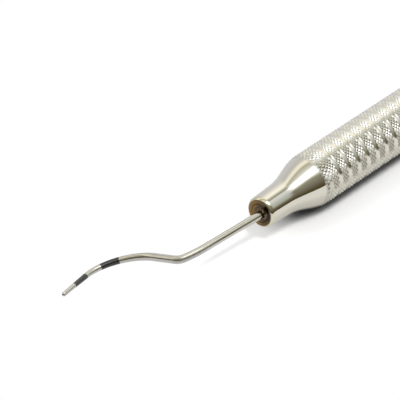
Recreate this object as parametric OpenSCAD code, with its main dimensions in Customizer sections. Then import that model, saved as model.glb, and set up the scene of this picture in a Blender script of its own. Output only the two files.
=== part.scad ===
/* [Grip] */
// Diameter over the crests of the knurled grip
grip_d = 8.4; // [7.8:0.1:11]
// Length of the whole handle, from the nose face to the rear end
handle_length = 120; // [90:1:150]
// Bore of the hollow handle tube
tube_bore_d = 6.4; // [5.4:0.1:6.8]
// Distance between neighbouring ring grooves of the grip
groove_pitch = 2.2; // [1.8:0.1:4]
// Width of a ring groove at the crests
groove_w = 1.0; // [0.4:0.05:1.2]
// Width of a ring groove at its floor
groove_floor_w = 0.7; // [0.2:0.05:0.9]
// Depth of a ring groove below the crests
groove_depth = 0.14; // [0.05:0.01:0.3]
// Knurled stretch in front of the first full groove, from the front edge of the tube
first_groove = 3.4; // [2:0.1:8]

/* [Nose] */
// Diameter of the nose just behind its rounded rim
nose_d = 4.8; // [4.6:0.1:6]
// Diameter of the nose where the flare begins
waist_d = 5.2; // [4.6:0.1:6.2]
// Diameter of the flat front face inside its rounded rim
face_d = 3.9; // [3.4:0.1:4.6]
// Length of the rounded rim along the handle
rim_length = 0.7; // [0.2:0.05:1.5]
// Distance from the front face to the seam with the tube
nose_length = 10.5; // [9:0.1:11.5]
// Distance from the front face to the start of the flare
flare_start = 5; // [2:0.1:7]
// Distance from the front face to the full grip diameter
flare_end = 12; // [11.6:0.1:13]
// Length of the spigot that plugs into the tube
nose_spigot_length = 8; // [5:0.5:12]

/* [Rear] */
// Length of the plain land at the rear of the tube
land_length = 10; // [6:1:16]
// Step down from the knurl crests to the plain land, on the radius
land_drop = 0.35; // [0.2:0.05:0.5]
// Visible length of the rear cap
cap_length = 5; // [3:0.5:10]
// Step down from the plain land to the rear cap, on the radius
cap_drop = 0.3; // [0.1:0.05:0.4]
// Radius of the rounded rear edge
cap_round = 1.6; // [0.5:0.1:2.5]
// Length of the rear cap's spigot in the tube
cap_spigot_length = 11; // [8:0.5:18]

/* [Joints] */
// Clearance of a spigot in the tube, on the radius
spigot_gap = 0.05; // [0.03:0.01:0.08]
// Width of the solder groove in a spigot
solder_w = 1.2; // [0.6:0.1:2]
// Depth of the solder groove in a spigot
solder_depth = 0.4; // [0.2:0.05:0.8]
// Clearance of the solder ring to its groove
solder_gap = 0.05; // [0.03:0.01:0.08]
// Clearance of the wire in the bore of the nose, on the radius
braze_gap = 0.04; // [0.02:0.01:0.08]
// Width of the braze fillet on the nose face, from the wire outwards
braze_w = 0.35; // [0.2:0.05:0.9]
// Height of the braze fillet along the wire
braze_h = 0.45; // [0.2:0.05:0.9]

/* [Wire] */
// Diameter of the shank
shank_d = 1.22; // [0.9:0.02:1.6]
// Diameter of the rounded tip
tip_d = 0.64; // [0.4:0.02:0.8]
// Distance of the wire's bore from the handle's axis, on the side away from the bend
bore_offset = 0.5; // [0:0.05:0.8]
// Depth of the tang in the nose
tang_length = 9; // [5:0.5:14]
// Straight stub of the wire in front of the nose face
stub_length = 0.6; // [0.4:0.1:3]
// Lean of the shank away from the handle's axis, in degrees
lean_angle = 4.5; // [0:0.5:20]
// Radius of the slight bend that makes the lean
lean_radius = 6; // [3:0.5:12]
// Straight length of the shank, between the lean and the bend that leads to the elbow
shank_length = 10.82; // [6:0.1:25]
// Turn of the gentle bend that leads to the elbow, in degrees
lead_angle = 14.9; // [1:0.1:30]
// Radius of the gentle bend that leads to the elbow
lead_radius = 14; // [6:0.5:20]
// Turn of the elbow, in degrees
elbow_angle = 69.4; // [50:0.2:90]
// Radius of the elbow
elbow_radius = 1.2; // [1:0.1:4]
// Straight length of the neck, between the elbow and the curved working end
neck_length = 4.05; // [1:0.05:8]
// Turn of the curved working end, in degrees
curve_angle = 98.6; // [70:0.2:115]
// Radius of the curved working end
curve_radius = 6.62; // [5:0.02:12]
// Length of the nearly straight end stretch, up to the tip
end_length = 6.13; // [3:0.01:12]
// Turn of the end stretch, in degrees
end_angle = 1.4; // [0.2:0.1:20]

/* [Marks] */
// Start of the lower black band, from the tip
lower_from = 3; // [1:0.1:3.5]
// End of the lower black band, from the tip
lower_to = 6; // [4:0.1:7]
// Start of the upper black band, from the tip
upper_from = 9; // [7.5:0.1:10]
// End of the upper black band, from the tip
upper_to = 12; // [10.5:0.1:14]
// Depth of a band's recess in the wire
mark_depth = 0.06; // [0.03:0.01:0.1]
// Clearance between a band and its recess
mark_gap = 0.005; // [0.002:0.001:0.01]

/* [Hidden] */

// Facets of the turned pieces, of a flare and of a rounded edge
turn_fn = 96;
flare_steps = 24;
round_steps = 6;
// Sides of the wire, and its rings on a straight, on a bend, in the elbow and on the round tip
wire_sides = 20;
straight_rings = 4;
bend_rings = 16;
elbow_rings = 14;
mark_rings = 6;
tip_rings = 5;
// Cut-through allowance of a drilled bore
past = 1;

grip_r = grip_d / 2;
land_r = grip_r - land_drop;
cap_r = land_r - cap_drop;
tube_bore_r = tube_bore_d / 2;
spigot_r = tube_bore_r - spigot_gap;
nose_r = nose_d / 2;
waist_r = waist_d / 2;
face_r = face_d / 2;
shank_r = shank_d / 2;
tip_r = tip_d / 2;

// Places along the handle; the origin is the middle of the plain rear land
tube_end = land_length / 2;
knurl_end = -land_length / 2;
face_x = tube_end + cap_length - handle_length;
seam_x = face_x + nose_length;
groove_start = seam_x + first_groove;
knurl_runout = 2 * land_drop;
groove_count = floor((knurl_end - knurl_runout - groove_w - groove_start) / groove_pitch) + 1;

// Outside of the nose and of the tube's front edge, at a distance behind the front face;
// the slope of the slender nose carries smoothly into the flare
function share(d) = min(max((d - flare_start) / (flare_end - flare_start), 0), 1);
function smooth(t) = t * t * (3 - 2 * t);
waist_slope = (waist_r - nose_r) / (flare_start - rim_length);
function flare_r(d) = let (t = share(d), carried = waist_slope * (flare_end - flare_start))
    waist_r + (grip_r - waist_r) * smooth(t) + carried * t * (1 - t) * (1 - t);
function flare_points(from, to) = [
    for (i = [0:flare_steps])
        let (d = from + (to - from) * i / flare_steps) [flare_r(d), face_x + d]
];

// A quarter round from a flat end to a side, as radius and place along the handle
function quarter(flat_r, side_r, end_x, length, way) = [
    for (i = [0:round_steps])
        let (a = 90 * i / round_steps)
            [flat_r + (side_r - flat_r) * sin(a), end_x + way * length * (1 - cos(a))]
];

// One ring groove of the grip round its middle
function groove_points(middle) = [
    [grip_r, middle - groove_w / 2],
    [grip_r - groove_depth, middle - groove_floor_w / 2],
    [grip_r - groove_depth, middle + groove_floor_w / 2],
    [grip_r, middle + groove_w / 2]
];

// The solder groove in a spigot round its middle, from its front edge to its rear edge
function solder_points(middle) = [
    [spigot_r, middle - solder_w / 2],
    [spigot_r - solder_depth, middle - solder_w / 2],
    [spigot_r - solder_depth, middle + solder_w / 2],
    [spigot_r, middle + solder_w / 2]
];
front_solder_x = seam_x + nose_spigot_length / 2;
rear_solder_x = tube_end - cap_spigot_length / 2;

// A solid of revolution about the handle's axis, from points of radius and place along it
module turned(points) {
    rotate([0, 90, 0])
        rotate_extrude($fn = turn_fn)
            polygon(points);
}

// The wire's route in its bend plane, as pairs of length and turn in degrees
function bend_length(radius, turn) = radius * turn * PI / 180;
route = [
    [tang_length + stub_length, 0],
    [bend_length(lean_radius, lean_angle), lean_angle],
    [shank_length, 0],
    [bend_length(lead_radius, lead_angle), lead_angle],
    [bend_length(elbow_radius, elbow_angle), elbow_angle],
    [neck_length, 0],
    [bend_length(curve_radius, curve_angle), -curve_angle],
    [end_length, -end_angle]
];
function total(list, count) = count == 0 ? 0 : list[count - 1][0] + total(list, count - 1);
wire_length = total(route, len(route));
// Length of the tapering curve and end
work_length = wire_length - total(route, 6);

// One stretch from a point and heading: a straight, or an arc when it turns
function stretch_end(p, h, length, turn) =
    abs(turn) < 0.0001
        ? p + length * [-cos(h), sin(h)]
        : p + length / (turn * PI / 180) * [sin(h) - sin(h + turn), cos(h) - cos(h + turn)];

// Point and heading on the route, at a length from the inner end of the tang
function place(s, i = 0, p = [face_x + tang_length, -bore_offset], h = 0) =
    s <= route[i][0] || i == len(route) - 1
        ? let (turn = route[i][1] * s / route[i][0])
            [stretch_end(p, h, s, turn), h + turn]
        : place(
            s - route[i][0], i + 1,
            stretch_end(p, h, route[i][0], route[i][1]), h + route[i][1]
        );

// Radius of the wire at a distance from the tip
function wire_r(u) = u < work_length
    ? tip_r + (shank_r - tip_r) * u / work_length
    : shank_r;

// Rings along a stretch between two distances from the tip, as distance and radius change
function rings(from, to, steps, first, change) = [
    for (i = [first:steps])
        let (u = from + (to - from) * i / steps) [u, wire_r(u) + change]
];
tip_end_rings = [
    for (i = [1:tip_rings])
        let (a = 90 * i / tip_rings) [tip_r * (1 - cos(a)), wire_r(tip_r * (1 - cos(a))) * sin(a)]
];
neck_from_tip = work_length + neck_length;
elbow_from_tip = neck_from_tip + route[4][0];
lead_from_tip = elbow_from_tip + route[3][0];
lean_from_tip = lead_from_tip + shank_length;
stub_from_tip = lean_from_tip + route[1][0];
wire_rings = concat(
    tip_end_rings,
    rings(tip_r, lower_from, straight_rings, 1, 0),
    rings(lower_from, lower_to, mark_rings, 0, -mark_depth),
    rings(lower_to, upper_from, mark_rings, 0, 0),
    rings(upper_from, upper_to, mark_rings, 0, -mark_depth),
    rings(upper_to, work_length, bend_rings, 0, 0),
    rings(work_length, neck_from_tip, straight_rings, 1, 0),
    rings(neck_from_tip, elbow_from_tip, elbow_rings, 1, 0),
    rings(elbow_from_tip, lead_from_tip, straight_rings, 1, 0),
    rings(lead_from_tip, lean_from_tip, straight_rings, 1, 0),
    rings(lean_from_tip, stub_from_tip, straight_rings, 1, 0),
    rings(stub_from_tip, wire_length, straight_rings, 1, 0)
);

// Dip of the bend plane: the bend rests on the same table as the grip
function touch_angle(ring) = let (reach = place(wire_length - ring[0])[0][1])
    reach > grip_r ? asin((grip_r - ring[1]) / reach) : 90;
plane_dip = min([for (ring = wire_rings) touch_angle(ring)]);

// A point of the bend plane, and a point on a ring round the wire
function from_plane(p) = [p[0], p[1] * cos(plane_dip), -p[1] * sin(plane_dip)];
function ring_points(ring) =
    let (at = place(wire_length - ring[0]), h = at[1])
    let (side = from_plane([sin(h), cos(h)]), square = [0, sin(plane_dip), cos(plane_dip)])
    [
        for (j = [0:wire_sides - 1])
            let (a = 360 * j / wire_sides)
                from_plane(at[0]) + ring[1] * (cos(a) * side + sin(a) * square)
    ];

// Side faces between two rings of a skin, as triangles
function wall(low, high) = [
    for (j = [0:wire_sides - 1])
        let (k = (j + 1) % wire_sides)
            each [[low + j, low + k, high + k], [low + j, high + k, high + j]]
];
function fan(centre, ring, flip) = [
    for (j = [0:wire_sides - 1])
        let (k = (j + 1) % wire_sides)
            flip ? [centre, ring + k, ring + j] : [centre, ring + j, ring + k]
];

// A closed skin over a list of rings, with a point at each end
module swept_rod(list) {
    count = len(list);
    tip = from_plane(place(wire_length)[0]);
    root = from_plane(place(0)[0]);
    polyhedron(
        points = concat([for (ring = list) each ring_points(ring)], [tip, root]),
        faces = concat(
            [for (i = [0:count - 2]) each wall(i * wire_sides, (i + 1) * wire_sides)],
            fan(count * wire_sides, 0, true),
            fan(count * wire_sides + 1, (count - 1) * wire_sides, false)
        )
    );
}

// A sleeve round the wire between two distances from the tip, flush with the wire
module sleeve(from, to) {
    outer = rings(from + mark_gap, to - mark_gap, mark_rings, 0, 0);
    inner = rings(to - mark_gap, from + mark_gap, mark_rings, 0, mark_gap - mark_depth);
    loop = concat(outer, inner);
    count = len(loop);
    polyhedron(
        points = [for (ring = loop) each ring_points(ring)],
        faces = [for (i = [0:count - 1]) each wall(i * wire_sides, (i + 1) % count * wire_sides)]
    );
}

// Knurled tube with its ring grooves, plain at the rear
module handle_tube() {
    outside = concat(
        flare_points(nose_length, flare_end),
        [for (i = [0:groove_count - 1]) each groove_points(groove_start + i * groove_pitch)],
        [[grip_r, knurl_end - knurl_runout], [land_r, knurl_end], [land_r, tube_end]]
    );
    color("silver")
        turned(concat([[tube_bore_r, seam_x]], outside, [[tube_bore_r, tube_end]]));
}

// Turned and polished nose with its spigot and the bore for the wire
module nose_cone() {
    outline = concat(
        [[0, face_x]],
        quarter(face_r, nose_r, face_x, rim_length, 1),
        flare_points(flare_start, nose_length),
        [[spigot_r, seam_x]],
        solder_points(front_solder_x),
        [[spigot_r, seam_x + nose_spigot_length], [0, seam_x + nose_spigot_length]]
    );
    color("gainsboro")
        difference() {
            turned(outline);
            translate(from_plane([face_x - past, -bore_offset]))
                rotate([0, 90, 0])
                    cylinder(r = shank_r + braze_gap, h = past + tang_length, $fn = turn_fn);
        }
}

// Turned plug that closes the rear of the tube
module rear_cap() {
    end_x = tube_end + cap_length;
    edge = quarter(cap_r - cap_round, cap_r, end_x, cap_round, -1);
    outline = concat(
        [[0, tube_end - cap_spigot_length], [spigot_r, tube_end - cap_spigot_length]],
        solder_points(rear_solder_x),
        [[spigot_r, tube_end], [cap_r, tube_end]],
        [for (i = [round_steps:-1:0]) edge[i]],
        [[0, end_x]]
    );
    color("gainsboro")
        turned(outline);
}

// Filler ring between a spigot's groove and the bore of the tube
module solder_ring(middle) {
    inner = spigot_r - solder_depth + solder_gap;
    outer = tube_bore_r - solder_gap;
    half = solder_w / 2 - solder_gap;
    color("lightgray")
        turned([
            [inner, middle - half], [outer, middle - half],
            [outer, middle + half], [inner, middle + half]
        ]);
}

module front_solder_ring() {
    solder_ring(front_solder_x);
}

module rear_solder_ring() {
    solder_ring(rear_solder_x);
}

// Tang, shank, elbow and tapering curved end in one bent wire
module probe_wire() {
    color("darkgray")
        swept_rod(wire_rings);
}

// Black marking ring near the tip
module lower_band() {
    color("dimgray")
        sleeve(lower_from, lower_to);
}

// Black marking ring on the curve
module upper_band() {
    color("black")
        sleeve(upper_from, upper_to);
}

// Hollow fillet of braze where the wire leaves the nose
module shank_braze() {
    foot = shank_r + braze_gap;
    outline = [
        for (i = [0:round_steps])
            let (a = 90 * i / round_steps)
                [foot + braze_w * (1 - sin(a)), face_x - braze_h * (1 - cos(a))]
    ];
    color("saddlebrown")
        translate(from_plane([0, -bore_offset]))
            turned(concat([[foot, face_x]], outline));
}

handle_tube();
nose_cone();
rear_cap();
front_solder_ring();
rear_solder_ring();
probe_wire();
lower_band();
upper_band();
shank_braze();
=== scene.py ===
"""Looks of a colour-banded dental probe: knurled grip, turned nose, bent tapering wire with two bands.

Sizes are in millimetres until a mesh is made, which is in metres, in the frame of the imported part.
"""

import logging
import math
from dataclasses import dataclass
from enum import Enum
from functools import cached_property
from typing import Callable, Sequence, Union

import bmesh
import bpy
import numpy as np
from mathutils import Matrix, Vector


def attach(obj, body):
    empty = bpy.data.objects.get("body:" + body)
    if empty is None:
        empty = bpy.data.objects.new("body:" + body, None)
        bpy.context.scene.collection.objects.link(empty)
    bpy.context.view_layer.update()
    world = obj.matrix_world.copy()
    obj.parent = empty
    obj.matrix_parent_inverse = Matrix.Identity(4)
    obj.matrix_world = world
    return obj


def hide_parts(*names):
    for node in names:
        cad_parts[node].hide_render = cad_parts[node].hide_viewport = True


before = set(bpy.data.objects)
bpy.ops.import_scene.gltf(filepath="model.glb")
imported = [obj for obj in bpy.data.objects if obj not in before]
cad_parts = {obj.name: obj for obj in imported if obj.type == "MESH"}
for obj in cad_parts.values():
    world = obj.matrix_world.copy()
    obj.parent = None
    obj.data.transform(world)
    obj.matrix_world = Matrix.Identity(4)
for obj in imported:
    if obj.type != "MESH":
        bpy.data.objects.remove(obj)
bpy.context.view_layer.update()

LOG = logging.getLogger("dental_probe")
MM = 0.001
# Front face of the nose along the handle's axis; the axis is X and the tip points to -X
FACE_X = -110.0
# Table under the grip, and how far it lies below, so that the two don't cut each other
TABLE_Z = -4.2
TABLE_GAP = 0.004
# Points of a turned or a swept piece nearer than this are one point
TURN_WELD = 0.0005
SWEEP_WELD = 0.0002
# Fineness of a swept piece's round section
SWEEP_FINENESS = 10
# Rows and columns of the mesh to each start of the diamond knurl
CELL = 4
# Steel mirrors a little less than silver or glass where it is seen edge on
STEEL_EDGE = "#ededed"
# Range within which a noise node mostly stays
NOISE_ENDS = (0.3, 0.7)
WHITE = (1.0, 1.0, 1.0, 1.0)
BLACK = (0.0, 0.0, 0.0, 1.0)
# Weights that leave of a place only what lies across the axis
ACROSS = (0.0, 1.0, 1.0)

Pair = tuple[float, float]
Profile = Sequence[Pair]
Stops = Sequence[tuple[float, str]]
Socket = bpy.types.NodeSocket
Feed = Union[Socket, float, Sequence[float]]


def metres(*lengths: float) -> list[float]:
    """Turn millimetres into metres."""
    return [length * MM for length in lengths]


def behind(*distances: float) -> list[float]:
    """Turn distances behind the front face into places along the axis in metres."""
    return metres(*(FACE_X + distance for distance in distances))


def on_face(place: Vector) -> bool:
    """Tell whether a place in metres lies in the plane of the front face."""
    return abs(place.x - FACE_X * MM) < TURN_WELD * MM


def half_turns(*degrees: float) -> list[float]:
    """Turn degrees into shares of half a turn."""
    return [angle / 180 for angle in degrees]


def by_degrees(stops: Stops) -> Stops:
    """Turn a ramp's places in degrees into shares of half a turn."""
    return list(zip(half_turns(*(place for place, _ in stops)), (colour for _, colour in stops)))


def linear(code: str) -> tuple[float, float, float, float]:
    """Turn an sRGB hex colour into linear light.

    Args:
        code: six hex digits with a leading hash sign.

    Returns:
        Red, green, blue and alpha in linear light.
    """
    parts = [int(code[i:i + 2], 16) / 255 for i in (1, 3, 5)]
    light = [c / 12.92 if c <= 0.04045 else ((c + 0.055) / 1.055) ** 2.4 for c in parts]
    return (light[0], light[1], light[2], 1.0)


def add_node(
    tree: bpy.types.NodeTree, kind: str, settings: dict | None = None, links: dict | None = None
) -> bpy.types.Node:
    """Add a shader node with its settings and links.

    Args:
        tree: node tree that takes the node.
        kind: Blender's name of the node's type.
        settings: values of the node's own properties; "stops" gives a colour ramp's places and colours.
        links: for an input's name or number, either a value or the output that feeds it.

    Returns:
        The new node.
    """
    node = tree.nodes.new(kind)
    for name, value in (settings or {}).items():
        if name != "stops":
            setattr(node, name, value)
            continue
        ramp = node.color_ramp.elements
        while len(ramp) < len(value):
            ramp.new(1.0)
        for stop, (place, colour) in zip(ramp, value):
            stop.position = place
            stop.color = linear(colour)
    for name, value in (links or {}).items():
        socket = node.inputs[name]
        if isinstance(value, bpy.types.NodeSocket):
            tree.links.new(value, socket)
        else:
            socket.default_value = value
    return node


@dataclass(frozen=True)
class NodeDesk:
    """Short forms of the shader nodes that the finishes and the room share."""

    tree: bpy.types.NodeTree

    def place(self) -> Socket:
        """Give the place on the object in metres."""
        return add_node(self.tree, "ShaderNodeTexCoord").outputs["Object"]

    def parts(self, vector: Socket) -> bpy.types.NodeOutputs:
        """Take a vector apart into X, Y and Z."""
        return add_node(self.tree, "ShaderNodeSeparateXYZ", None, {0: vector}).outputs

    def seen(self) -> Socket:
        """Give 1 for what the camera itself sees and 0 for what lights or is mirrored."""
        return add_node(self.tree, "ShaderNodeLightPath").outputs["Is Camera Ray"]

    def calc(self, operation: str, *values: Feed) -> Socket:
        """Work out a number from numbers."""
        node = add_node(self.tree, "ShaderNodeMath", {"operation": operation}, dict(enumerate(values)))
        return node.outputs[0]

    def vector(self, operation: str, *values: Feed) -> Socket:
        """Work out a vector, or the number that the operation gives."""
        node = add_node(self.tree, "ShaderNodeVectorMath", {"operation": operation}, dict(enumerate(values)))
        return node.outputs["Value" if operation in ("LENGTH", "DOT_PRODUCT") else "Vector"]

    def off_axis(self, place: Socket) -> Socket:
        """Give the distance of a place from the handle's axis."""
        return self.vector("LENGTH", self.vector("MULTIPLY", place, ACROSS))

    def span(
        self, value: Feed, ends: Sequence[float], low: Feed = 0.0, high: Feed = 1.0, smooth: bool = False
    ) -> Socket:
        """Bring a value from one range to another and hold it at both ends.

        Args:
            value: the value.
            ends: where its own range begins and ends.
            low: result at the beginning.
            high: result at the end.
            smooth: whether the result eases in and out.

        Returns:
            The result.
        """
        kind = "SMOOTHSTEP" if smooth else "LINEAR"
        return add_node(self.tree, "ShaderNodeMapRange", {"interpolation_type": kind}, {
            "Value": value, "From Min": ends[0], "From Max": ends[1], "To Min": low, "To Max": high,
        }).outputs["Result"]

    def mix(self, share: Socket, first: Feed, second: Feed) -> Socket:
        """Go from one number to another."""
        return add_node(self.tree, "ShaderNodeMix", None, {"Factor": share, 2: first, 3: second}).outputs[0]

    def blend(self, share: Feed, first: Feed, second: Feed, mode: str = "MIX") -> Socket:
        """Go from one colour to another."""
        node = add_node(self.tree, "ShaderNodeMix", {"data_type": "RGBA", "blend_type": mode}, {
            "Factor": share, 6: first, 7: second,
        })
        return node.outputs[2]

    def times(self, first: Feed, second: Feed) -> Socket:
        """Multiply two colours."""
        return self.blend(1.0, first, second, "MULTIPLY")

    def ramp(self, value: Socket, stops: Stops) -> Socket:
        """Colour a value by a ramp."""
        return add_node(self.tree, "ShaderNodeValToRGB", {"stops": stops}, {"Fac": value}).outputs["Color"]

    def noise(self, place: Socket, size: float, detail: float, roughness: float = 0.5) -> Socket:
        """Scatter marks of a size in mm over the surface.

        Args:
            place: place on the object.
            size: size of the marks.
            detail: how many finer layers they have.
            roughness: how strong the finer layers are.

        Returns:
            Number between 0 and 1.
        """
        return add_node(self.tree, "ShaderNodeTexNoise", None, {
            "Vector": place, "Scale": 1 / (size * MM), "Detail": detail, "Roughness": roughness,
        }).outputs["Fac"]

    def stripes(self, along: Socket, gap: float, detail: float) -> Socket:
        """Scatter stripes with a spacing in mm along one measure."""
        links = {"W": along, "Scale": 1 / (gap * MM), "Detail": detail}
        return add_node(self.tree, "ShaderNodeTexNoise", {"noise_dimensions": "1D"}, links).outputs["Fac"]

    def scatter(self, noise: Socket, low: float, high: float) -> Socket:
        """Bring noise to a range of its own."""
        return self.span(noise, NOISE_ENDS, low, high)

    def skin(self, height: Socket, strength: float, depth: float, inputs: dict) -> None:
        """Make the surface, with fine bumps.

        Args:
            height: height of the bumps, between 0 and 1.
            strength: how much of them shows.
            depth: depth of the bumps in mm.
            inputs: values and links of the surface.
        """
        bump = add_node(self.tree, "ShaderNodeBump", None, {
            "Strength": strength, "Distance": depth * MM, "Height": height,
        })
        links = {**inputs, "Normal": bump.outputs["Normal"]}
        shader = add_node(self.tree, "ShaderNodeBsdfPrincipled", None, links)
        add_node(self.tree, "ShaderNodeOutputMaterial", None, {"Surface": shader.outputs["BSDF"]})


def new_material(name: str) -> tuple[bpy.types.Material, NodeDesk]:
    """Start a material with an empty node tree.

    Args:
        name: material and process, in plain words.

    Returns:
        The material and the desk for its nodes.
    """
    material = bpy.data.materials.new(name)
    material.use_nodes = True
    material.node_tree.nodes.clear()
    return material, NodeDesk(material.node_tree)


def clear_selection() -> None:
    """Leave nothing selected, so that the next operator acts on its own piece alone."""
    if bpy.context.object and bpy.context.object.mode != "OBJECT":
        bpy.ops.object.mode_set(mode="OBJECT")
    bpy.ops.object.select_all(action="DESELECT")


def pick(piece: bpy.types.Object, wanted: Callable[[Vector], bool]) -> None:
    """Select the vertices of a piece in edit mode by their place.

    Args:
        piece: piece that is in edit mode.
        wanted: test of a vertex's place in metres.
    """
    shape = bmesh.from_edit_mesh(piece.data)
    for vert in shape.verts:
        vert.select = wanted(vert.co)
    shape.select_flush_mode()
    bmesh.update_edit_mesh(piece.data)


def turn(name: str, profile: Profile, sides: int) -> bpy.types.Object:
    """Turn a profile about the handle's axis, as on a lathe, and leave the piece in edit mode.

    Args:
        name: name of the new piece.
        profile: distances behind the front face and radii; a closed profile repeats its first point.
        sides: number of sides round the axis.

    Returns:
        The turned piece, selected all over, with its faces outwards.
    """
    clear_selection()
    first = profile[0]
    bpy.ops.mesh.primitive_plane_add(size=MM, location=((FACE_X + first[0]) * MM, 0, first[1] * MM))
    piece = bpy.context.object
    piece.name = piece.data.name = name
    bpy.ops.object.transform_apply(location=True, rotation=False, scale=False)
    bpy.ops.object.mode_set(mode="EDIT")
    bpy.ops.mesh.select_mode(type="VERT")
    bpy.ops.mesh.select_all(action="SELECT")
    bpy.ops.mesh.merge(type="CENTER")
    for here, there in zip(profile, profile[1:]):
        step = ((there[0] - here[0]) * MM, 0, (there[1] - here[1]) * MM)
        bpy.ops.mesh.extrude_region_move(TRANSFORM_OT_translate={"value": step})
    bpy.ops.mesh.select_all(action="SELECT")
    bpy.ops.mesh.spin(steps=sides, angle=2 * math.pi, center=(0, 0, 0), axis=(1, 0, 0))
    bpy.ops.mesh.select_all(action="SELECT")
    bpy.ops.mesh.remove_doubles(threshold=TURN_WELD * MM)
    bpy.ops.mesh.normals_make_consistent(inside=False)
    return piece


def sweep(name: str, places: Sequence[Vector], radii: Sequence[float], solid: bool) -> bpy.types.Object:
    """Draw a round rod or an open tube along a route and make it a mesh.

    Args:
        name: name of the new piece.
        places: points of the route in mm.
        radii: radius at each point in mm.
        solid: whether the two ends are closed.

    Returns:
        The swept piece, active and selected, in object mode.
    """
    clear_selection()
    curve = bpy.data.curves.new(name, "CURVE")
    curve.dimensions = "3D"
    curve.bevel_depth = MM
    curve.bevel_resolution = SWEEP_FINENESS
    curve.use_fill_caps = solid
    spline = curve.splines.new("POLY")
    spline.points.add(len(places) - 1)
    for point, place, radius in zip(spline.points, places, radii):
        point.co = (*(place * MM), 1.0)
        point.radius = radius
    piece = bpy.data.objects.new(name, curve)
    bpy.context.scene.collection.objects.link(piece)
    bpy.context.view_layer.objects.active = piece
    piece.select_set(True)
    bpy.ops.object.convert(target="MESH")
    piece = bpy.context.object
    bpy.ops.object.mode_set(mode="EDIT")
    bpy.ops.mesh.select_all(action="SELECT")
    bpy.ops.mesh.remove_doubles(threshold=SWEEP_WELD * MM)
    bpy.ops.mesh.normals_make_consistent(inside=False)
    bpy.ops.object.mode_set(mode="OBJECT")
    return piece


def finish_piece(
    piece: bpy.types.Object, node: str, material: bpy.types.Material, crease: float
) -> None:
    """Shade a finished piece, dress it and let it stand for its solid.

    Args:
        piece: finished mesh, its place in its mesh.
        node: solid that the piece stands for.
        material: finish of the piece.
        crease: angle in degrees past which an edge stays sharp.
    """
    if piece.mode != "OBJECT":
        bpy.ops.object.mode_set(mode="OBJECT")
    clear_selection()
    piece.select_set(True)
    bpy.context.view_layer.objects.active = piece
    bpy.ops.object.shade_smooth_by_angle(angle=math.radians(crease))
    piece.data.materials.clear()
    piece.data.materials.append(material)
    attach(piece, "root")
    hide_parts(node)
    LOG.info("%s: %d vertices, %d faces", piece.name, len(piece.data.vertices), len(piece.data.polygons))


class QuadCut(Enum):
    """Which corners the cut through a four-sided face joins."""

    FIRST_AND_THIRD = "FIXED"
    SECOND_AND_FOURTH = "FIXED_ALTERNATE"


class Mark(Enum):
    """Marking bands of the working end: node, and distances of both edges from the tip in mm."""

    LOWER = ("lower_band", 3.0, 6.0)
    UPPER = ("upper_band", 9.0, 12.0)


@dataclass(frozen=True)
class RingGrooves:
    """Ring grooves turned into the grip, with slightly hollow floors."""

    pitch: float = 2.2
    width: float = 1.0
    floor_w: float = 0.8
    depth: float = 0.14
    # Share of the depth at both edges of the floor
    edge_share: float = 0.59
    # Middle of the first full groove behind the face, and how many full grooves there are
    first: float = 13.9
    count: int = 41


@dataclass(frozen=True)
class KnurledSteel:
    """Stainless steel, machine knurled: lighter on the worn peaks and darker down the flanks into the
    valleys, where the darkening is painted shade; smooth turned grooves and land.
    """

    grooves: RingGrooves
    land_from: float
    # Colours of the peaks, the flanks and the valleys; the darkening towards the valleys is painted shade
    peak: str = "#d7d7d4"
    flank: str = "#c6c6c3"
    valley_with_painted_shade: str = "#b4b4b1"
    turned: str = "#c4c3c0"
    knurl_gloss: Pair = (0.26, 0.36)
    turned_gloss: float = 0.17
    valley_r: float = 4.06
    peak_r: float = 4.2
    # Size of the burnish marks on the facets
    mark_size: float = 0.25
    # Where the turned steel begins and is in full, from the edge of a groove inwards, and before the land
    groove_lap: Pair = (-0.02, 0.06)
    land_lap: float = 0.05

    def material(self) -> bpy.types.Material:
        """Make the knurled finish.

        Returns:
            The material.
        """
        material, desk = new_material("stainless_steel_knurled")
        place = desk.place()
        height = desk.span(desk.off_axis(place), metres(self.valley_r, self.peak_r))
        # Painted shade: the steel's colour darkens with depth, from the peaks down the flanks to the valleys
        knurl = desk.ramp(height, [(0.0, self.valley_with_painted_shade), (0.55, self.flank), (1.0, self.peak)])
        marks = desk.noise(place, self.mark_size, detail=3.0, roughness=0.6)
        plain = self.turned_share(desk, desk.parts(place)["X"])
        desk.skin(marks, strength=0.25, depth=0.004, inputs={
            "Base Color": desk.blend(plain, knurl, linear(self.turned)), "Metallic": 1.0,
            "Roughness": desk.mix(plain, desk.scatter(marks, *self.knurl_gloss), self.turned_gloss),
            "Specular Tint": linear(STEEL_EDGE),
        })
        return material

    def turned_share(self, desk: NodeDesk, along: Socket) -> Socket:
        """Mark what the lathe left smooth: the full ring grooves and the land at the rear.

        Args:
            desk: nodes of the finish.
            along: place along the axis.

        Returns:
            1 on smooth steel, 0 on the knurl.
        """
        half_pitch, edge = self.grooves.pitch / 2 * MM, self.grooves.width / 2
        past_first = desk.calc("SUBTRACT", along, *behind(self.grooves.first))
        # No further than halfway past the first and the last full groove
        within = add_node(desk.tree, "ShaderNodeClamp", None, {
            "Value": past_first, "Min": -half_pitch, "Max": (2 * self.grooves.count - 1) * half_pitch,
        }).outputs[0]
        from_groove = desk.calc("PINGPONG", within, half_pitch)
        in_groove = desk.span(from_groove, metres(*(edge - lap for lap in self.groove_lap)))
        on_land = desk.calc("GREATER_THAN", along, *behind(self.land_from - self.land_lap))
        return desk.calc("MAXIMUM", in_groove, on_land)


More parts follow.
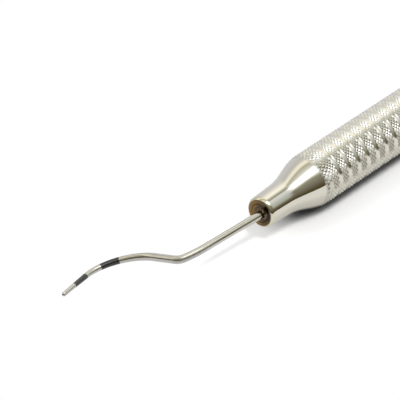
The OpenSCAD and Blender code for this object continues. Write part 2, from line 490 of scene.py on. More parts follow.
@dataclass(frozen=True)
class BuffedSteel:
    """Stainless steel, turned and buffed: mirror stripes, softened by fine lines round the axis."""

    bore_y: float
    bore_z: float
    # The heat rings' middle is set past the bore, towards the thin wall, so that that side of the face is
    # darker: heat tint together with painted shade
    heat_and_shade_shift: float = 1.8
    colour: str = "#c1c0bd"
    rim: str = "#bfbcae"
    gloss: Pair = (0.045, 0.08)
    # Spacing of the lathe lines and of the facing cuts; real ones are finer and would not show
    line_gap: float = 0.11
    ring_gap: float = 0.26
    smear_size: float = 1.5
    # Radii of the first and the last heat ring, and how far the rings wander
    heat_ends: Pair = (0.25, 3.25)
    wander: float = 0.5
    # Distances behind the face over which straw turns to bare steel, and the face's brown to straw
    straw_ends: Pair = (0.3, 1.2)
    brown_ends: Pair = (0.005, 0.06)

    def material(self) -> bpy.types.Material:
        """Make the buffed finish with the straw to blue heat rings round the brazed wire.

        Returns:
            The material.
        """
        material, desk = new_material("stainless_steel_turned_buffed")
        place = desk.place()
        along, radius = desk.parts(place)["X"], desk.off_axis(place)
        lines = desk.stripes(desk.calc("ADD", along, radius), self.line_gap, detail=2.0)
        smears = desk.noise(place, self.smear_size, detail=4.0, roughness=0.65)
        middle = (0.0, self.heat_and_shade_shift * self.bore_y * MM, self.heat_and_shade_shift * self.bore_z * MM)
        spread = desk.off_axis(desk.vector("SUBTRACT", place, middle))
        ring = desk.calc("MULTIPLY_ADD", smears, self.wander * MM, spread)
        heat = desk.ramp(desk.span(ring, metres(*self.heat_ends)), [
            (0.1, "#241e17"), (0.25, "#302b24"), (0.36, "#483d32"), (0.48, "#5f4f3d"), (0.62, "#705d3f"),
            (0.8, "#7e6640"), (0.95, "#816c47"),
        ])
        facing = desk.stripes(radius, self.ring_gap, detail=1.0)
        cuts = desk.ramp(facing, [(0.32, "#b0a89e"), (0.6, "#ffffff")])
        # Heat left the rim straw coloured and the face brown to blue black
        cool = desk.span(along, behind(*self.straw_ends))
        straw = desk.blend(cool, linear(self.rim), linear(self.colour))
        brown = desk.span(along, behind(*self.brown_ends), 1.0, 0.0, smooth=True)
        desk.skin(lines, strength=0.12, depth=0.002, inputs={
            "Base Color": desk.blend(brown, straw, desk.times(heat, cuts)), "Metallic": 1.0,
            "Roughness": desk.scatter(smears, *self.gloss), "Specular Tint": linear(STEEL_EDGE),
        })
        return material


@dataclass(frozen=True)
class DrawnWireSteel:
    """Stainless spring wire, ground and satin finished: plain grey, soft edged reflections."""

    colour: str = "#bcbbb8"
    worn: str = "#a5a49f"
    # Reach of the braze heat along the wire in front of the face
    heat_reach: float = 1.3
    grain: float = 0.18
    # Roughness of the drawn shank, of the stretch held in bending and of the ground taper, and its scatter
    drawn_gloss: float = 0.11
    held_gloss: float = 0.34
    ground_gloss: float = 0.24
    gloss_scatter: float = 0.035
    # Where the held stretch, the neck past it and the taper begin: behind the face, across the axis, behind
    held_ends: Pair = (-8.5, -13.0)
    neck_ends: Pair = (2.0, 3.5)
    taper_ends: Pair = (-18.5, -22.0)

    def material(self) -> bpy.types.Material:
        """Make the satin wire finish, darkened by heat at the nose.

        Returns:
            The material.
        """
        material, desk = new_material("stainless_wire_satin")
        place = desk.place()
        parts = desk.parts(place)
        grain = desk.noise(place, self.grain, detail=4.0, roughness=0.7)
        steel = desk.ramp(grain, [(0.35, self.worn), (0.65, self.colour)])
        heat = desk.ramp(desk.span(parts["X"], behind(0.0, -self.heat_reach)), [
            (0.0, "#4a4842"), (0.3, "#8a8578"), (0.65, "#c8c4b8"), (1.0, "#ffffff"),
        ])
        # Dull where the bending pliers held the wire, from the end of the shank to the elbow
        held = desk.span(parts["X"], behind(*self.held_ends), self.drawn_gloss, self.held_gloss, True)
        neck = desk.span(parts["Y"], metres(*self.neck_ends), held, self.drawn_gloss, True)
        taper = desk.span(parts["X"], behind(*self.taper_ends), neck, self.ground_gloss, True)
        spread = desk.scatter(grain, -self.gloss_scatter, self.gloss_scatter)
        desk.skin(grain, strength=0.2, depth=0.003, inputs={
            "Base Color": desk.times(steel, heat), "Metallic": 1.0,
            "Roughness": desk.calc("ADD", taper, spread),
        })
        return material


@dataclass(frozen=True)
class BandEnamel:
    """Black baked enamel in a ground recess: dark, half glossy, with faint unevenness."""

    colour: str = "#1d1e21"
    thin: str = "#2b2c2f"
    gloss: float = 0.2
    gloss_scatter: Pair = (-0.05, 0.06)
    patch: float = 0.35
    refraction: float = 1.55

    def material(self, name: str) -> bpy.types.Material:
        """Make the enamel.

        Args:
            name: name of the finish.

        Returns:
            The material.
        """
        material, desk = new_material(name)
        patches = desk.noise(desk.place(), self.patch, detail=4.0, roughness=0.6)
        desk.skin(patches, strength=0.15, depth=0.004, inputs={
            "Base Color": desk.ramp(patches, [(0.4, self.colour), (0.7, self.thin)]),
            "Roughness": desk.scatter(patches, *(self.gloss + change for change in self.gloss_scatter)),
            "IOR": self.refraction,
        })
        return material


@dataclass(frozen=True)
class FillerMetal:
    """Cast filler metal, silver braze or soft solder: dull, slightly lumpy skin."""

    name: str
    bright: str
    dull: str
    gloss: Pair = (0.15, 0.35)
    lump: float = 0.2

    def material(self) -> bpy.types.Material:
        """Make the filler's skin.

        Returns:
            The material.
        """
        material, desk = new_material(self.name)
        lumps = desk.noise(desk.place(), self.lump, detail=3.0)
        desk.skin(lumps, strength=0.3, depth=0.01, inputs={
            "Base Color": desk.ramp(lumps, [(0.35, self.dull), (0.65, self.bright)]), "Metallic": 1.0,
            "Roughness": desk.span(lumps, (0.0, 1.0), *self.gloss),
        })
        return material


@dataclass(frozen=True)
class GlowingTablePaintedShade:
    """Glowing white table: even, with painted shade where the grip leans close over it, and a painted warm
    reflection in the steel in front of the grip.
    """

    # Glow beside the grip, behind it and under the working end
    table_glow: float = 0.77
    rear_glow: float = 0.62
    end_glow: float = 1.03
    # Gain of that glow with each metre towards the rear
    far_gain: float = 0.6
    # Painted warm tint of that glow, seen only where the steel mirrors it in front of the grip
    painted_warm_reflection: tuple[float, float, float, float] = (1.07, 1.035, 0.94, 1.0)
    # Reach of the grip's painted shade, and its greys by how open the table is to the room
    painted_shade_reach: float = 20.0
    painted_shade: Stops = (
        (0.2, "#2c2c2c"), (0.28, "#555555"), (0.33, "#8e8e8e"), (0.37, "#b4b4b4"), (0.41, "#c8c8c8"),
        (0.46, "#d0d0d0"), (0.55, "#d7d7d7"), (0.7, "#dfdfdf"), (0.8, "#eaeaea"), (0.88, "#ffffff"),
    )
    # Where the painted shade and the working end's glow begin, behind the face, and the rear glow, across
    # the axis
    painted_shade_ends: Pair = (-7.0, 8.0)
    tip_ends: Pair = (-7.0, -13.0)
    rear_ends: Pair = (3.0, 12.0)

    def material(self) -> bpy.types.Material:
        """Make the table's finish.

        Returns:
            The material.
        """
        material, desk = new_material("glowing_table_painted_shade")
        tree, parts = desk.tree, desk.parts(desk.place())
        opening = add_node(tree, "ShaderNodeAmbientOcclusion", {"samples": 16}, {
            "Distance": self.painted_shade_reach * MM,
        })
        # Painted shade: the glow greys where little of the room is open to the table, close under the grip
        painted_shade = desk.ramp(opening.outputs["AO"], self.painted_shade)
        by_grip = desk.span(parts["X"], behind(*self.painted_shade_ends), smooth=True)
        at_rear = desk.span(parts["Y"], metres(*self.rear_ends))
        # Further back it glows more, because the key reaches less far
        beside = desk.mix(at_rear, self.table_glow, self.rear_glow)
        further = desk.calc("MULTIPLY_ADD", parts["Y"], self.far_gain, beside)
        # Under the working end the table glows brighter and takes no key light, so that no shadow shows
        # there
        at_tip = desk.span(parts["X"], behind(*self.tip_ends), smooth=True)
        glow = desk.mix(at_tip, further, self.end_glow)
        # In front of the grip the steel mirrors the table with a painted warm tint, while the camera sees
        # the table white
        neutral = desk.calc("MAXIMUM", desk.seen(), at_rear)
        painted_reflection_tint = desk.blend(neutral, self.painted_warm_reflection, WHITE)
        # The painted shade lies only beside the grip; under the working end the table stays white
        white = desk.blend(by_grip, WHITE, desk.times(painted_shade, painted_reflection_tint))
        shine = add_node(tree, "ShaderNodeEmission", None, {"Color": white, "Strength": glow})
        matt = add_node(tree, "ShaderNodeBsdfDiffuse", None, {"Color": desk.blend(at_tip, white, BLACK)})
        both = add_node(tree, "ShaderNodeAddShader", None, {0: shine.outputs[0], 1: matt.outputs[0]})
        add_node(tree, "ShaderNodeOutputMaterial", None, {"Surface": both.outputs[0]})
        material.cycles.emission_sampling = "NONE"
        return material


@dataclass(frozen=True)
class Flare:
    """Outside of the nose, slender behind its rim and widening smoothly into the grip."""

    rim_length: float = 0.7
    start: float = 5.0
    # Seam between the nose and the tube, part of the way up
    seam: float = 10.5
    end: float = 12.0
    nose_r: float = 2.4
    waist_r: float = 2.6
    grip_r: float = 4.2
    # Reach over which the buff has softened the profile
    soften: float = 1.0

    def radius(self, distance: float) -> float:
        """Give the radius behind the rim, as buffed.

        Args:
            distance: distance behind the front face.

        Returns:
            Radius of the outside.
        """
        reach = np.linspace(-self.soften, self.soften, 21)
        return float(np.mean([self.turned(distance + step) for step in reach]))

    def turned(self, distance: float) -> float:
        """Give the radius behind the rim, as it left the lathe.

        Args:
            distance: distance behind the front face.

        Returns:
            Radius of the outside.
        """
        slope = (self.waist_r - self.nose_r) / (self.start - self.rim_length)
        if distance < self.start:
            return self.waist_r + slope * (distance - self.start)
        run = self.end - self.start
        t = min((distance - self.start) / run, 1.0)
        rise = (self.grip_r - self.waist_r) * t * t * (3 - 2 * t)
        return self.waist_r + rise + slope * run * t * (1 - t) ** 2


@dataclass(frozen=True)
class Spigot:
    """Shoulder that fits the tube's bore, with a groove for the solder halfway along it."""

    radius: float = 3.15
    solder_w: float = 1.2
    solder_depth: float = 0.4

    def profile(self, start: float, stop: float) -> list[Pair]:
        """Give the outline from one end to the other.

        Args:
            start: front end behind the face.
            stop: rear end behind the face.

        Returns:
            Distances behind the face and radii.
        """
        front, rear = ((start + stop) / 2 + side * self.solder_w / 2 for side in (-1, 1))
        high, low = self.radius, self.radius - self.solder_depth
        return [(start, high), (front, high), (front, low), (rear, low), (rear, high), (stop, high)]


@dataclass(frozen=True)
class KnurlRow:
    """One ring of the knurl: its place on the lattice, its place in a groove, and the cut's depth."""

    even: float
    cut: float
    depth: float = 0.0
    partial: bool = False


@dataclass
class Handle:
    """Knurled tube with ring grooves and a plain land, and the plug that closes its rear end."""

    flare: Flare
    grooves: RingGrooves
    spigot: Spigot
    bore_r: float = 3.2
    # Valleys of the diamond knurl below its peaks, and starts of each of its two line families
    knurl_depth: float = 0.12
    knurl_starts: int = 40
    knurl_end: float = 105.0
    # Lengths over which the knurl deepens behind the seam and runs out at its end
    knurl_fade: float = 0.45
    knurl_runout: float = 0.7
    # The groove before the first full one: its ends round the axis and its run-out at each, in degrees
    part_ends: Pair = (155.0, 345.0)
    part_runout: float = 10.0
    # How near a point of the turned tube has to be to a row of the knurl
    row_reach: float = 0.005
    land_r: float = 3.85
    tube_end: float = 115.0
    tube_break: float = 0.1
    cap_r: float = 3.55
    cap_break: float = 0.08
    cap_round: float = 1.6
    cap_sides: int = 128
    cap_spigot: float = 11.0
    handle_length: float = 120.0

    @property
    def sides(self) -> int:
        """Columns round the knurl."""
        return CELL * self.knurl_starts

    def rows(self) -> list[KnurlRow]:
        """List the rings of the knurl from the seam to its run-out.

        Returns:
            The rings in order; a groove takes one cell of the lattice and the crest after it two.
        """
        grooves = self.grooves
        half, floor = grooves.width / 2, grooves.floor_w / 2
        depths = {0.0: grooves.depth, floor: grooves.depth * grooves.edge_share, half: 0.0}
        lead = grooves.first - grooves.pitch
        crest = (grooves.pitch - grooves.width) * np.arange(1, 2 * CELL) / (2 * CELL)
        rows = [KnurlRow(x, x) for x in np.linspace(self.flare.seam, lead - half, CELL + 1)[:-1]]
        for count in range(grooves.count + 1):
            middle = lead + count * grooves.pitch
            for even, cut in zip(np.linspace(-half, half, CELL + 1), (-half, -floor, 0.0, floor, half)):
                rows.append(KnurlRow(middle + even, middle + cut, depths[abs(cut)], count == 0))
            if count < grooves.count:
                rows += [KnurlRow(x, x) for x in middle + half + crest]
        end = self.knurl_end - self.knurl_runout
        rows += [KnurlRow(x, x) for x in np.linspace(rows[-1].even, end, 3 * CELL + 1)[1:]]
        return rows

    def tube(self) -> bpy.types.Object:
        """Turn the tube, press knurl and grooves into its outside and cut its faces along the knurl lines.

        Returns:
            The knurled tube.
        """
        rows = self.rows()
        outside = [(row.even, self.flare.radius(row.even)) for row in rows]
        rear = [
            (self.knurl_end, self.land_r), (self.tube_end - self.tube_break, self.land_r),
            (self.tube_end, self.land_r - self.tube_break), (self.tube_end, self.bore_r),
        ]
        front = (self.flare.seam, self.bore_r)
        piece = turn("grip_tube", [front, *outside, *rear, front], self.sides)
        bpy.ops.object.mode_set(mode="OBJECT")
        self.press(piece.data, rows)
        return piece

    def press(self, mesh: bpy.types.Mesh, rows: list[KnurlRow]) -> None:
        """Move the outside of the turned tube to the knurl's peaks and valleys and the groove floors.

        Args:
            mesh: turned tube with one ring of vertices for each row.
            rows: rings of the knurl.
        """
        flat = np.empty(len(mesh.vertices) * 3)
        mesh.vertices.foreach_get("co", flat)
        place = flat.reshape(-1, 3) / MM
        x, radius = place[:, 0] - FACE_X, np.hypot(place[:, 1], place[:, 2])
        angle = np.arctan2(place[:, 2], place[:, 1])
        evens, cuts, depths, partial = (
            np.array([getattr(row, name) for row in rows]) for name in ("even", "cut", "depth", "partial")
        )
        row = np.abs(x[:, None] - evens[None, :]).argmin(axis=1)
        column = np.rint(angle / (2 * math.pi / self.sides)).astype(int)
        knurled = (np.abs(x - evens[row]) < self.row_reach) & (radius > self.land_r)
        # Height on the lattice: 0 on a groove line of either family, 1 on a peak
        rise = np.array([0.0, 0.5, 1.0, 0.5])
        height = np.minimum(rise[(row + column) % CELL], rise[(row - column) % CELL])
        fade = np.clip((x - self.flare.seam) / self.knurl_fade, 0.0, 1.0)
        knurl_r = radius - self.knurl_depth * fade * (1 - height)
        # The groove before the first full one runs out on the upper side, where the flare is too low for it
        degrees = np.degrees(angle) % 360
        from_end = np.minimum(degrees - self.part_ends[0], self.part_ends[1] - degrees)
        share = np.where(partial[row], np.clip(from_end / self.part_runout, 0.0, 1.0), 1.0)
        depth = depths[row]
        cut_r = np.minimum(self.flare.grip_r - depth, radius)
        new_r = np.where(depth > 0, knurl_r + (cut_r - knurl_r) * share, knurl_r)
        new_x = x + (cuts[row] - evens[row]) * share
        place[knurled, 0] = new_x[knurled] + FACE_X
        place[knurled, 1:] *= (new_r[knurled] / radius[knurled])[:, None]
        mesh.vertices.foreach_set("co", (place * MM).ravel())
        mesh.update()
        self.cut_faces(mesh, (row + column) % 2 == 0)

    def cut_faces(self, mesh: bpy.types.Mesh, even: np.ndarray) -> None:
        """Cut each face from even corner to even corner, so that its cut lies on a knurl line.

        Args:
            mesh: pressed tube, of an active object in object mode.
            even: for each vertex, whether it is an even point of the lattice.
        """
        starts = np.empty(len(mesh.polygons), dtype=np.int32)
        mesh.polygons.foreach_get("loop_start", starts)
        corners = np.empty(len(mesh.loops), dtype=np.int32)
        mesh.loops.foreach_get("vertex_index", corners)
        bpy.context.tool_settings.mesh_select_mode = (False, False, True)
        mesh.polygons.foreach_set("select", even[corners[starts]])
        bpy.ops.object.mode_set(mode="EDIT")
        bpy.ops.mesh.quads_convert_to_tris(quad_method=QuadCut.FIRST_AND_THIRD.value)
        bpy.ops.mesh.select_all(action="DESELECT")
        bpy.ops.mesh.select_face_by_sides(number=4)
        bpy.ops.mesh.quads_convert_to_tris(quad_method=QuadCut.SECOND_AND_FOURTH.value)
        bpy.ops.object.mode_set(mode="OBJECT")

    def plug(self) -> bpy.types.Object:
        """Turn the plug that closes the rear of the tube.

        Returns:
            The plug with its spigot and solder groove.
        """
        begin = self.tube_end - self.cap_spigot
        middle = (self.handle_length - self.cap_round, self.cap_r - self.cap_round)
        rounding = [
            (middle[0] + self.cap_round * math.sin(a), middle[1] + self.cap_round * math.cos(a))
            for a in np.linspace(0, math.pi / 2, 20)
        ]
        profile = [
            (begin, 0.0), *self.spigot.profile(begin, self.tube_end),
            (self.tube_end, self.cap_r - self.cap_break), (self.tube_end + self.cap_break, self.cap_r),
            *rounding, (self.handle_length, 0.0),
        ]
        return turn("rear_plug", profile, self.cap_sides)

    def build(self, knurled: bpy.types.Material, buffed: bpy.types.Material) -> None:
        """Make and dress both pieces.

        Args:
            knurled: finish of the tube.
            buffed: finish of the plug.
        """
        finish_piece(self.tube(), "handle_tube", knurled, crease=28)
        finish_piece(self.plug(), "rear_cap", buffed, crease=30)


@dataclass
class WorkingEnd:
    """Bent tapering wire with its two bands, on a route of straights and arcs in a dipped plane."""

    grip_r: float
    shank_r: float = 0.61
    tip_r: float = 0.32
    bore_offset: float = 0.5
    tang: float = 9.0
    stub: float = 0.6
    # Radius and turn in degrees of each bend, and length and turn of the end
    lean: Pair = (6.0, 4.5)
    shank: float = 10.82
    lead: Pair = (14.0, 14.9)
    elbow: Pair = (1.2, 69.4)
    neck: float = 4.05
    curve: Pair = (6.62, -98.6)
    end: Pair = (6.13, -1.4)
    mark_depth: float = 0.06
    mark_gap: float = 0.005
    # Radius of the first ring at the tip, and length of the step at an edge of a recess
    tip_ring: float = 0.004
    step: float = 0.003
    # Spacing of the points at which the bend is tried against the table
    trial_gap: float = 0.05

    @property
    def route(self) -> list[Pair]:
        """Lengths in mm and turns in degrees, from the inner end of the tang to the tip."""
        bends = (self.lean, self.lead, self.elbow, self.curve)
        lean, lead, elbow, curve = ((r * math.radians(abs(turn)), turn) for r, turn in bends)
        straight, shank, neck = (self.tang + self.stub, 0.0), (self.shank, 0.0), (self.neck, 0.0)
        return [straight, lean, shank, lead, elbow, neck, curve, self.end]

    @property
    def length(self) -> float:
        """Length of the whole wire."""
        return sum(length for length, _ in self.route)

    @property
    def taper(self) -> float:
        """Length of the tapering curve and end."""
        return sum(length for length, _ in self.route[-2:])

    def radius(self, from_tip: float) -> float:
        """Give the wire's radius.

        Args:
            from_tip: distance from the tip along the wire.

        Returns:
            Radius of the bare wire.
        """
        return self.tip_r + (self.shank_r - self.tip_r) * min(from_tip / self.taper, 1.0)

    def in_plane(self, from_tip: float) -> Pair:
        """Find a point of the route in the bend plane.

        Args:
            from_tip: distance from the tip along the wire.

        Returns:
            Place along the handle and reach across it.
        """
        left, heading = self.length - from_tip, 0.0
        x, reach = FACE_X + self.tang, -self.bore_offset
        for length, turn in self.route:
            run = min(left, length)
            arc = math.radians(turn * run / length)
            if abs(arc) < 1e-9:
                x, reach = x - run * math.cos(heading), reach + run * math.sin(heading)
            else:
                bend = run / arc
                x += bend * (math.sin(heading) - math.sin(heading + arc))
                reach += bend * (math.cos(heading) - math.cos(heading + arc))
            heading += arc
            left -= run
            if left <= 0:
                break
        return x, reach

    @cached_property
    def dip(self) -> float:
        """Dip of the bend plane in radians, at which the bend rests on the same table as the grip."""
        angles = []
        for from_tip in np.arange(self.tip_r, self.length - self.tang, self.trial_gap):
            reach = self.in_plane(from_tip)[1]
            if reach > self.grip_r:
                angles.append(math.asin((self.grip_r - self.radius(from_tip)) / reach))
        return min(angles)

    def lay(self, x: float, reach: float) -> Vector:
        """Lay a point of the bend plane in space, in mm."""
        return Vector((x, reach * math.cos(self.dip), -reach * math.sin(self.dip)))

    def trace(self, samples: Sequence[float]) -> list[Vector]:
        """Lay a list of distances from the tip in space, in mm."""
        return [self.lay(*self.in_plane(from_tip)) for from_tip in samples]

    def wire(self) -> bpy.types.Object:
        """Sweep the wire, with a round tip and a shallow recess under each band.

        Returns:
            The bent wire.
        """
        rings = [(0.0, self.tip_ring)]
        for a in np.linspace(0, math.pi / 2, 10)[1:]:
            u = self.tip_r * (1 - math.cos(a))
            rings.append((u, self.radius(u) * math.sin(a)))
        edges = [self.tip_r]
        for mark in Mark:
            edges += mark.value[1:]
        lean, _, lead, elbow = (length for length, _ in self.route[1:5])
        neck_end = self.taper + self.neck
        elbow_end = neck_end + elbow
        lead_end = elbow_end + lead
        lean_end = self.length - self.tang - self.stub
        edges += [neck_end, elbow_end, lead_end, lean_end - lean, lean_end, self.length]
        # Spacing of the rings from each edge to the next; the second and the fourth run are recesses
        spacing = (0.2, 0.2, 0.15, 0.2, 0.15, 0.05, 0.2, 0.8, 0.1, 0.6)
        for part, (low, high) in enumerate(zip(edges, edges[1:])):
            drop = self.mark_depth if part in (1, 3) else 0.0
            count = max(int((high - low) / spacing[part]), 2)
            first = 0 if part else 1
            for u in np.linspace(low, high - self.step, count)[first:]:
                rings.append((u, self.radius(u) - drop))
        places = self.trace([u for u, _ in rings])
        return sweep("probe_wire_bent", places, [r for _, r in rings], True)

    def band(self, mark: Mark) -> bpy.types.Object:
        """Sweep one band over its recess and give it its thickness inwards.

        Args:
            mark: which band.

        Returns:
            The closed sleeve.
        """
        node, low, high = mark.value
        samples = np.linspace(low + self.mark_gap, high - self.mark_gap, 30)
        piece = sweep(node + "_sleeve", self.trace(samples), [self.radius(u) for u in samples], False)
        wall = piece.modifiers.new("wall", "SOLIDIFY")
        wall.thickness = (self.mark_depth - self.mark_gap) * MM
        wall.offset = -1.0
        bpy.ops.object.modifier_apply(modifier=wall.name)
        return piece

    def build(self, satin: bpy.types.Material, enamels: dict[Mark, bpy.types.Material]) -> None:
        """Make and dress the wire and its bands.

        Args:
            satin: finish of the wire.
            enamels: finish of each band.
        """
        finish_piece(self.wire(), "probe_wire", satin, crease=40)
        for mark in Mark:
            finish_piece(self.band(mark), mark.value[0], enamels[mark], crease=40)


@dataclass
class Nose:
    """Turned nose with its face, the wire's bore and the hollow fillet of braze round the wire."""

    flare: Flare
    spigot: Spigot
    bore_at: Vector
    wire_r: float
    face_r: float = 1.95
    spigot_length: float = 8.0
    bore_r: float = 0.65
    bore_depth: float = 9.0
    braze_w: float = 0.38
    braze_h: float = 0.45
    sides: int = 192
    braze_sides: int = 96

    def cone(self) -> bpy.types.Object:
        """Turn the nose, bridge its face to the bore's mouth and drill the bore.

        Returns:
            The nose with its spigot.
        """
        long, rise = self.flare.rim_length, self.flare.nose_r - self.face_r
        rim = [
            (long * (1 - math.cos(a)), self.face_r + rise * math.sin(a))
            for a in np.linspace(0, math.pi / 2, 16)
        ]
        cone = [(x, self.flare.radius(x)) for x in np.linspace(long, self.flare.seam, 72)[1:]]
        back = self.flare.seam + self.spigot_length
        spigot = self.spigot.profile(self.flare.seam, back)
        piece = turn("nose_turned", [*rim, *cone, *spigot, (back, 0.0)], self.sides)
        mouth = Vector((FACE_X, self.bore_at.y, self.bore_at.z)) * MM
        bpy.ops.mesh.select_all(action="DESELECT")
        bpy.ops.mesh.primitive_circle_add(
            vertices=self.sides, radius=self.bore_r * MM, location=mouth, rotation=(0, math.pi / 2, 0),
        )
        pick(piece, on_face)
        bpy.ops.mesh.bridge_edge_loops()
        bpy.ops.mesh.select_all(action="DESELECT")
        just_past = 1.01 * self.bore_r * MM
        pick(piece, lambda place: on_face(place) and (place - mouth).length < just_past)
        bpy.ops.mesh.extrude_region_move(TRANSFORM_OT_translate={"value": (self.bore_depth * MM, 0, 0)})
        bpy.ops.mesh.merge(type="CENTER")
        bpy.ops.mesh.select_all(action="SELECT")
        bpy.ops.mesh.normals_make_consistent(inside=False)
        return piece

    def fillet(self) -> bpy.types.Object:
        """Turn the hollow fillet of braze and move it to the bore.

        Returns:
            The fillet.
        """
        hollow = [
            (-self.braze_h * (1 - math.cos(a)), self.wire_r + self.braze_w * (1 - math.sin(a)))
            for a in np.linspace(0, math.pi / 2, 14)
        ]
        start = (0.0, self.wire_r)
        piece = turn("braze_fillet", [start, *hollow, start], self.braze_sides)
        bpy.ops.transform.translate(value=(0, self.bore_at.y * MM, self.bore_at.z * MM))
        return piece

    def build(self, buffed: bpy.types.Material, braze: bpy.types.Material) -> None:
        """Make and dress the nose and the fillet.

        Args:
            buffed: finish of the nose.
            braze: finish of the fillet.
        """
        finish_piece(self.cone(), "nose_cone", buffed, crease=30)
        finish_piece(self.fillet(), "shank_braze", braze, crease=40)


@dataclass(frozen=True)
class RoomLight:
    """Light of the room: pale rear wall, cream card and soft box above, dark towards the viewer."""

    strength: float = 2.95
    soft_box: float = 3.8
    # By degrees from the rear horizon over the top: wall, cream card, olive gap, white soft box
    near: Stops = (
        (0, "#a09f9c"), (23, "#989692"), (34, "#a39f95"), (44, "#c0bbad"), (56, "#c2bdac"),
        (62, "#969179"), (69, "#929080"), (77, "#9d9c90"), (90, "#b9b8ae"), (126, "#b9b8ae"),
        (134, "#7f7e70"), (141, "#615e4e"), (180, "#5b584a"),
    )
    # The same towards the rear of the handle, where the card ends higher and the soft box is greyer
    far: Stops = (
        (0, "#a2a19e"), (28, "#a2a09b"), (40, "#aaa8a0"), (52, "#b8b5ab"), (64, "#c8c4b8"),
        (77, "#cfcbbc"), (86, "#a8a594"), (96, "#757365"), (101, "#7b7a6e"), (109, "#acaca5"),
        (122, "#a4a5a2"), (133, "#979994"), (150, "#8b8d81"), (158, "#77766a"), (167, "#605d4d"),
        (180, "#585443"),
    )
    # The same at the bright end of the room behind the handle
    end_wall: Stops = (
        (0, "#b4b3af"), (24, "#d2d2ce"), (50, "#e2e2de"), (60, "#d0d0ca"), (70, "#90908a"),
        (88, "#8c8c84"), (100, "#c4c4c0"), (118, "#d6d6d2"), (132, "#b0b0aa"), (146, "#6c6b60"),
    )
    # Where near turns to far and far to the end wall along the handle, and the end wall's foot by height
    far_ends: Pair = (0.46, 0.6)
    wall_ends: Pair = (0.68, 0.85)
    foot_ends: Pair = (0.0, 0.2)
    # Slant of the card's edge, which rises towards the rear and stops under the soft box, in degrees
    card_slant: float = -0.2
    slant_ends: Pair = (92.0, 104.0)
    # Soft box: its middle, half width at both ends and softness in degrees, and its ends along the handle
    box_middle: float = 110.5
    box_half: Pair = (12.0, -4.0)
    box_edge: float = 4.0
    box_ends: Pair = (0.42, 0.6)
    # The unlit side of the room by height, the way to its middle, and where it begins
    unlit: Stops = (
        (0.0, "#3c3522"), (0.1, "#423b28"), (0.25, "#504b3d"), (0.45, "#605d4e"), (0.75, "#737162"),
    )
    unlit_way: tuple[float, float, float] = (-0.763, -0.646, -0.55)
    unlit_ends: Pair = (-0.17, 0.03)

    def lamps(self, desk: NodeDesk, parts: bpy.types.NodeOutputs) -> Socket:
        """Colour the lit side of the room.

        Args:
            desk: nodes of the room.
            parts: X, Y and Z of the way that is looked.

        Returns:
            The light's colour.
        """
        share = desk.calc("DIVIDE", desk.calc("ARCTAN2", parts["Z"], parts["Y"]), math.pi)
        slant = desk.span(share, half_turns(*self.slant_ends), self.card_slant, 0.0, True)
        slanted = desk.calc("MULTIPLY_ADD", parts["X"], slant, share)
        near, far = desk.ramp(slanted, by_degrees(self.near)), desk.ramp(share, by_degrees(self.far))
        glow = desk.blend(desk.span(parts["X"], self.far_ends, smooth=True), near, far)
        end_on = desk.span(parts["X"], self.wall_ends, smooth=True)
        above = desk.span(parts["Z"], self.foot_ends, 0.0, end_on, True)
        walls = desk.blend(above, glow, desk.ramp(share, by_degrees(self.end_wall)))
        # The soft box is a wedge that narrows towards the rear of the handle
        aside = desk.calc("ABSOLUTE", desk.calc("SUBTRACT", share, *half_turns(self.box_middle)))
        half_width = desk.span(parts["X"], self.box_ends, *half_turns(*self.box_half))
        edge = half_turns(-self.box_edge, self.box_edge)
        panel = desk.span(desk.calc("SUBTRACT", half_width, aside), edge, smooth=True)
        return desk.blend(panel, walls, (self.soft_box / self.strength,) * 3 + (1.0,))

    def build(self) -> None:
        """Make the room and light the scene with it."""
        world = bpy.data.worlds.new("studio_light")
        world.use_nodes = True
        world.node_tree.nodes.clear()
        desk = NodeDesk(world.node_tree)
        way = add_node(desk.tree, "ShaderNodeTexCoord").outputs["Generated"]
        parts = desk.parts(way)
        unlit = desk.span(desk.vector("DOT_PRODUCT", way, self.unlit_way), self.unlit_ends, smooth=True)
        colour = desk.blend(unlit, self.lamps(desk, parts), desk.ramp(parts["Z"], self.unlit))
        lit = add_node(desk.tree, "ShaderNodeBackground", None, {"Color": colour, "Strength": self.strength})
        # What the camera sees past the table is plain white
        plain = add_node(desk.tree, "ShaderNodeBackground", None, {"Color": WHITE, "Strength": 1.0})
        both = add_node(desk.tree, "ShaderNodeMixShader", None, {
            0: desk.seen(), 1: lit.outputs[0], 2: plain.outputs[0],
        })
        add_node(desk.tree, "ShaderNodeOutputWorld", None, {"Surface": both.outputs[0]})
        # The table takes its light from its own glow and from the key, so that it stays neutral
        world.cycles_visibility.diffuse = False
        bpy.context.scene.world = world


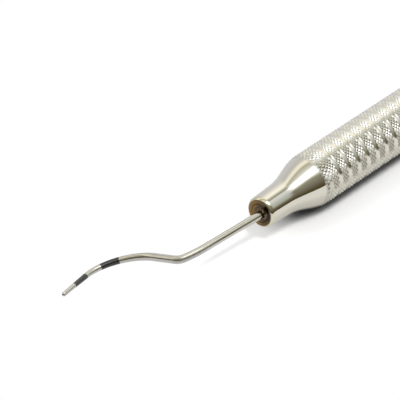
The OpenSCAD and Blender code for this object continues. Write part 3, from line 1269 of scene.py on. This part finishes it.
@dataclass
class Studio:
    """White table, soft overhead light with a dark side towards the viewer, and the camera."""

    azimuth: float = -49.742
    elevation: float = 33.0
    distance: float = 449.263
    target: tuple[float, float, float] = (-112.886, 8.803, 0.0)
    lens: float = 278.8
    sensor: float = 36.0
    # Nearest and furthest that the camera sees, in metres
    clip: Pair = (0.01, 20.0)
    # White card on the table: left, right, near and far edge
    card: tuple[float, float, float, float] = (-143.0, 300.0, -66.0, 420.0)
    # Key lamp: power, edge, distance above the face and lean towards the viewer in degrees
    key_power: float = 2.15
    key_size: float = 200.0
    key_distance: float = 700.0
    key_lean: float = 21.0

    def floor(self) -> None:
        """Lay the white table top under the grip."""
        clear_selection()
        left, right, near, far = metres(*self.card)
        bpy.ops.mesh.primitive_plane_add(
            size=1.0, location=((left + right) / 2, (near + far) / 2, (TABLE_Z - TABLE_GAP) * MM),
        )
        table = bpy.context.object
        table.name = table.data.name = "table_top"
        table.scale = (right - left, far - near, 1.0)
        bpy.ops.object.transform_apply(location=True, rotation=False, scale=True)
        table.data.materials.append(GlowingTablePaintedShade().material())

    def key(self) -> None:
        """Add the soft box's own light on the table, which the steel doesn't mirror a second time."""
        data = bpy.data.lights.new("soft_box_on_table", "AREA")
        data.size = self.key_size * MM
        data.energy = self.key_power
        lamp = bpy.data.objects.new("soft_box_on_table", data)
        bpy.context.scene.collection.objects.link(lamp)
        lean = math.radians(self.key_lean)
        lamp.location = Vector((
            FACE_X, -self.key_distance * math.sin(lean), self.key_distance * math.cos(lean),
        )) * MM
        lamp.rotation_euler = (lean, 0, 0)
        lamp.visible_camera = False
        lamp.visible_glossy = False

    def camera(self) -> None:
        """Place the camera at the photograph's angle."""
        a, e = math.radians(self.azimuth), math.radians(self.elevation)
        back = Vector((math.sin(a) * math.cos(e), -math.cos(a) * math.cos(e), math.sin(e)))
        data = bpy.data.cameras.new("studio_camera")
        data.lens = self.lens
        data.sensor_width = self.sensor
        data.clip_start, data.clip_end = self.clip
        camera = bpy.data.objects.new("studio_camera", data)
        bpy.context.scene.collection.objects.link(camera)
        camera.location = (Vector(self.target) + back * self.distance) * MM
        camera.rotation_euler = back.to_track_quat("Z", "Y").to_euler()
        bpy.context.scene.camera = camera

    def build(self) -> None:
        """Make the table, the light and the camera."""
        self.floor()
        RoomLight().build()
        self.key()
        self.camera()
        bpy.context.scene.view_settings.view_transform = "Standard"
        LOG.info("studio: table, light and camera")


def dress_solder(material: bpy.types.Material) -> None:
    """Give the two solder rings inside the tube their finish.

    Args:
        material: finish of the solder.
    """
    for name in ("front_solder_ring", "rear_solder_ring"):
        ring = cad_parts[name]
        ring.data.materials.clear()
        ring.data.materials.append(material)
        LOG.info("%s: solder finish", name)


def main() -> None:
    """Build the studio and the part, piece by piece."""
    logging.basicConfig(level=logging.INFO, format="%(name)s: %(message)s")
    flare, grooves, spigot = Flare(), RingGrooves(), Spigot()
    end = WorkingEnd(flare.grip_r)
    handle = Handle(flare, grooves, spigot)
    bore_at = end.lay(FACE_X, -end.bore_offset)
    buffed = BuffedSteel(bore_at.y, bore_at.z).material()
    Studio().build()
    handle.build(KnurledSteel(grooves, handle.knurl_end).material(), buffed)
    braze = FillerMetal("silver_braze_heat_dark", "#6a5a45", "#41372c").material()
    Nose(flare, spigot, bore_at, end.shank_r).build(buffed, braze)
    worn = BandEnamel(colour="#26272a", thin="#36373a", gloss=0.4)
    end.build(DrawnWireSteel().material(), {
        Mark.LOWER: worn.material("black_enamel_worn"),
        Mark.UPPER: BandEnamel().material("black_enamel_glossy"),
    })
    dress_solder(FillerMetal("soft_solder", "#bdbab2", "#8d8a83").material())


if __name__ == "__main__":
    main()
